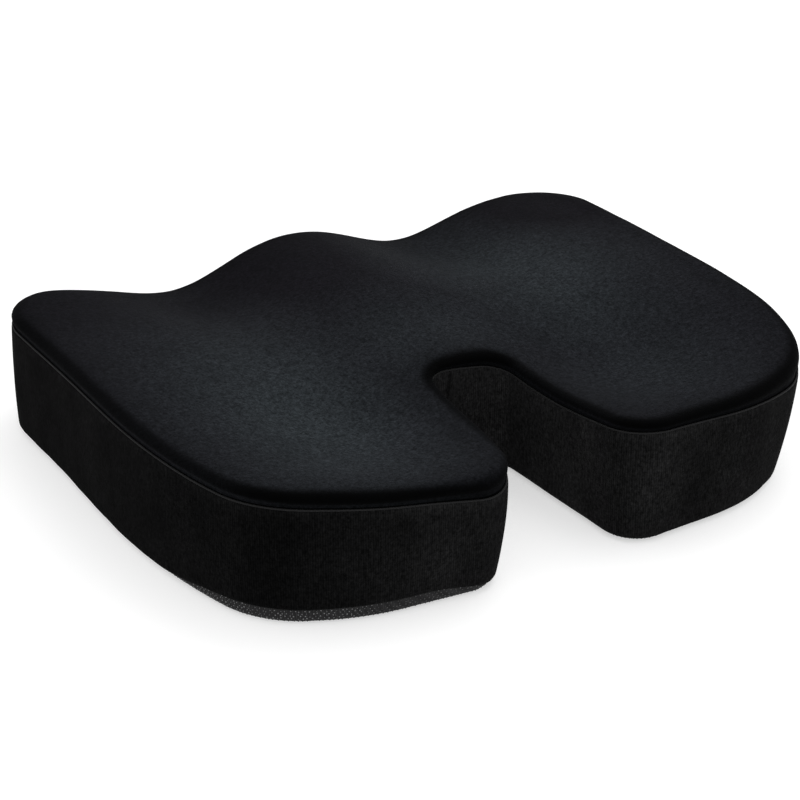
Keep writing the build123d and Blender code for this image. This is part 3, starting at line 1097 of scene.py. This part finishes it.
welt = tube("top_welt", [seam_path(WELT_OUT - SEAM_INSET)], WELT_RADIUS, 8, True)
finish_piece(welt, WELT, "seam_thread", "top_seam_welt")
hem = tube("hem_thread", [hem_line()], HEM_THREAD_RADIUS, 6, True)
finish_piece(hem, THREAD, "seam_thread", "bottom_seam_thread")

# ---- zipper --------------------------------------
STITCH_LONG = 2.6
STITCH_GAP = 0.9
STITCH_RADIUS = 0.22
STITCH_EDGE = 2.5         # from the stitches to the edge of their band
STITCH_PROUD = (0.10, 0.25)   # of the cloth at a stitch's ends, and more of it in its middle


def on_front(x, rise, z):
    """A point of a stitch on the front band, a little above the cloth in the stitch's middle."""
    middle = on_wall(np.zeros(1), z)[0]
    place = swollen(np.array([[x, middle[1] + BAND_PROUD, z]]))
    place[:, 1] += CLOTH + wall_unevenness(place) + STITCH_PROUD[0] + STITCH_PROUD[1] * rise
    return place[0]


stitch_paths = []
for z in (SLOT_TOP + STITCH_EDGE, SLOT_BOTTOM - STITCH_EDGE):
    stitch_paths += dashes(
        -FRONT_SEAM_X + 3, FRONT_SEAM_X - 3, STITCH_LONG, STITCH_GAP,
        lambda t, rise, z=z: on_front(t, rise, z),
    )
stitches = tube("zipper_topstitch", stitch_paths, STITCH_RADIUS, 6)
finish_piece(stitches, THREAD, "seam_thread", "zipper_stitching")

COIL_MEET = 0.28          # how near to the zipper's middle line the coils come
TAPE_MEET = 0.05          # and the tapes behind them
WIRE_RADIUS = 0.30
COIL_PITCH = 1.3
TURN_POINTS = 12          # mesh points in one turn of the wire
TAPE_GRID = (115, 8)


def coil(name, node, side):
    """One row of the zipper: a nylon wire wound into loops along X, their heads at the middle."""
    low, high = (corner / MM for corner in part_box(node))
    head = ZIP_Z + side * (COIL_MEET + WIRE_RADIUS)
    heel = high.z - WIRE_RADIUS if side > 0 else low.z + WIRE_RADIUS
    centre_y, centre_z = (low.y + high.y) / 2, (head + heel) / 2
    deep, tall = (high.y - low.y) / 2 - WIRE_RADIUS, (heel - head) / 2
    turns = (high.x - low.x) / COIL_PITCH
    t = np.linspace(0, turns * 2 * math.pi, int(turns * TURN_POINTS))
    shift = 0.0 if side > 0 else math.pi
    path = np.column_stack([
        low.x + t * COIL_PITCH / (2 * math.pi),
        centre_y + deep * np.sin(t + shift),
        centre_z + tall * np.cos(t + shift),
    ])
    finish_piece(tube(name, [path], WIRE_RADIUS, 6), NYLON, "zipper_nylon", node)


def tape(name, node, side):
    """A woven tape behind its coil: a thin upright strip that nearly meets the other one."""
    low, high = (list(corner / MM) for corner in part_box(node))
    if side > 0:
        low[2] = ZIP_Z + TAPE_MEET
    else:
        high[2] = ZIP_Z - TAPE_MEET
    high[1] -= 0.1
    xs, zs = (np.linspace(low[k], high[k], count) for k, count in zip((0, 2), TAPE_GRID))
    verts = np.array([(x, high[1], z) for x in xs for z in zs])
    verts[:, 1] += 0.06 * ripple(verts, 9.0, 5)
    piece = new_object(name, verts, strip_faces(*TAPE_GRID, False), verts[:, [0, 2]] * MM)
    finish_piece(thicken(piece, high[1] - low[1]), TAPE, "zipper_tape", node)


coil("coil_upper", "zipper_coil_upper", 1.0)
coil("coil_lower", "zipper_coil_lower", -1.0)
tape("tape_upper", "zipper_tape_upper", 1.0)
tape("tape_lower", "zipper_tape_lower", -1.0)

METAL_EDGE = 0.18         # rounding of the metal parts' edges


def refine(node):
    """Gives a kept CAD node its metal and softened edges."""
    piece = frame["nodes"][node]
    piece.data.materials.clear()
    piece.data.materials.append(METAL)
    weld = piece.modifiers.new("weld", "WELD")
    weld.merge_threshold = 0.00001
    bevel = piece.modifiers.new("bevel", "BEVEL")
    bevel.width = METAL_EDGE * MM
    bevel.segments = 3
    bevel.limit_method = "ANGLE"
    bevel.angle_limit = math.radians(35)


for node in ("zipper_slider", "zipper_pull", "zipper_top_stops", "zipper_bottom_stop"):
    refine(node)

LABEL_GAP = 0.6           # between the label and the wall
LABEL_THICK = 0.4
LABEL_ROWS = 8


def label():
    """The care label, flat against the inside of the front wall."""
    low, high = (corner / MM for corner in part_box("care_label"))
    s = span(low.x, high.x)
    heights = np.tile(np.linspace(low.z, high.z, LABEL_ROWS), len(s))
    verts = on_wall(np.repeat(s, LABEL_ROWS), heights, CLOTH + LABEL_GAP)
    piece = new_object("care_label_sheet", verts, strip_faces(len(s), LABEL_ROWS, False))
    return thicken(piece, LABEL_THICK)


finish_piece(label(), LABEL, "label", "care_label")

# ---- foam core -----------------------------------
FOAM_GAP = 3.0            # between the foam and the outline of the cover
FOAM_LOW = 2.4            # height of its flat underside
FOAM_DROP = 3.0           # of its top below the seat surface
FOAM_STEP = 7.0           # mesh size of its top and underside
FOAM_LEVELS = (0.0, 0.01, 0.03, 0.06, 0.12, 0.25, 0.4, 0.55, 0.7, 0.85, 1.0)


def foam_body():
    """One rounded block of foam that fills the cover."""
    s = all_round()
    points, normals = outline_at(s)
    top_z = seam_z(points)
    rings = []
    for level in FOAM_LEVELS:
        height = FOAM_LOW + (top_z - FOAM_LOW) * level
        inset = wall_inset(points, normals, height - 1.8, top_z) + FOAM_GAP
        inset = inset + 1.2 * beside_zipper(points, height)
        rings.append(at_height(points - normals * inset[:, None], height))
    for inset, drop in ((0.5, 7.0), (3.0, 4.4), (8.0, FOAM_DROP)):
        rings.append(at_seat(points - normals * (FOAM_GAP + inset), -drop))
    fills = [
        (0, lambda flat: at_height(flat, FOAM_LOW)),
        (-1, lambda flat: at_seat(flat, -FOAM_DROP)),
    ]
    return new_object("foam_body", *filled_rings(rings, FOAM_STEP, fills))


core = foam_body()
face_outwards(core)
finish_piece(core, FOAM, "foam", "foam_core")

# ---- floor, light and camera ---------------------
FLOOR_HALF = 6.0          # half the floor's width (m)


def aim(made, place, towards):
    """Puts a light or camera at a place and turns it to look along a direction."""
    made.location = place
    made.rotation_mode = "QUATERNION"
    made.rotation_quaternion = towards.to_track_quat("-Z", "Y")


def floor():
    """A white floor that glows a little, as the one in a product picture."""
    mesh = bpy.data.meshes.new("floor")
    corners = [(FLOOR_HALF * x, FLOOR_HALF * y, 0) for x, y in ((-1, -1), (1, -1), (1, 1), (-1, 1))]
    mesh.from_pydata(corners, [], [(0, 1, 2, 3)])
    m = Shader("floor_white")
    haze = m.noise(3.0)
    m.colour((0.60, 0.60, 0.60), (haze, 0.004))
    m.roughness(haze, 0.6, 0.65)
    glow = {"Emission_Color": (1.0, 1.0, 1.0, 1.0), "Emission_Strength": 0.48}
    mesh.materials.append(m.set(Specular_IOR_Level=0.2, **glow))
    piece = place_in_scene("floor", mesh)


def area_light(name, place, target, size, power):
    data = bpy.data.lights.new(name, "AREA")
    data.shape = "RECTANGLE"
    data.size, data.size_y = size
    data.energy = power
    aim(place_in_scene(name, data), place, Vector(target) - Vector(place))


def world():
    """Even white light from all round."""
    made = bpy.data.worlds.new("studio")
    made.use_nodes = True
    background = made.node_tree.nodes["Background"]
    background.inputs["Color"].default_value = (1.0, 1.0, 1.0, 1.0)
    background.inputs["Strength"].default_value = 1.0
    bpy.context.scene.world = made


def camera():
    """Seen from behind and to the left, raised, from far enough that lines hardly converge."""
    azimuth, elevation = math.radians(-30.06), math.radians(26.7)
    target = Vector((-7.9, 9.4, 30.0)) * MM
    distance = 1.7
    back = Vector((
        math.sin(azimuth) * math.cos(elevation),
        -math.cos(azimuth) * math.cos(elevation),
        math.sin(elevation),
    ))
    data = bpy.data.cameras.new("camera")
    data.sensor_width, data.lens = 36.0, 116.5
    data.clip_start, data.clip_end = 0.05, 50.0
    eye = place_in_scene("camera", data)
    aim(eye, target + back * distance, -back)
    bpy.context.scene.camera = eye


floor()
world()
area_light("key", (0.9, 0.3, 1.7), target=(0.0, 0.0, 0.0), size=(1.4, 1.4), power=10.0)
area_light("fill", (-0.5, -1.7, 0.6), target=(0.0, -0.1, 0.03), size=(1.2, 0.8), power=5.0)
camera()
bpy.context.scene.view_settings.view_transform = "Standard"
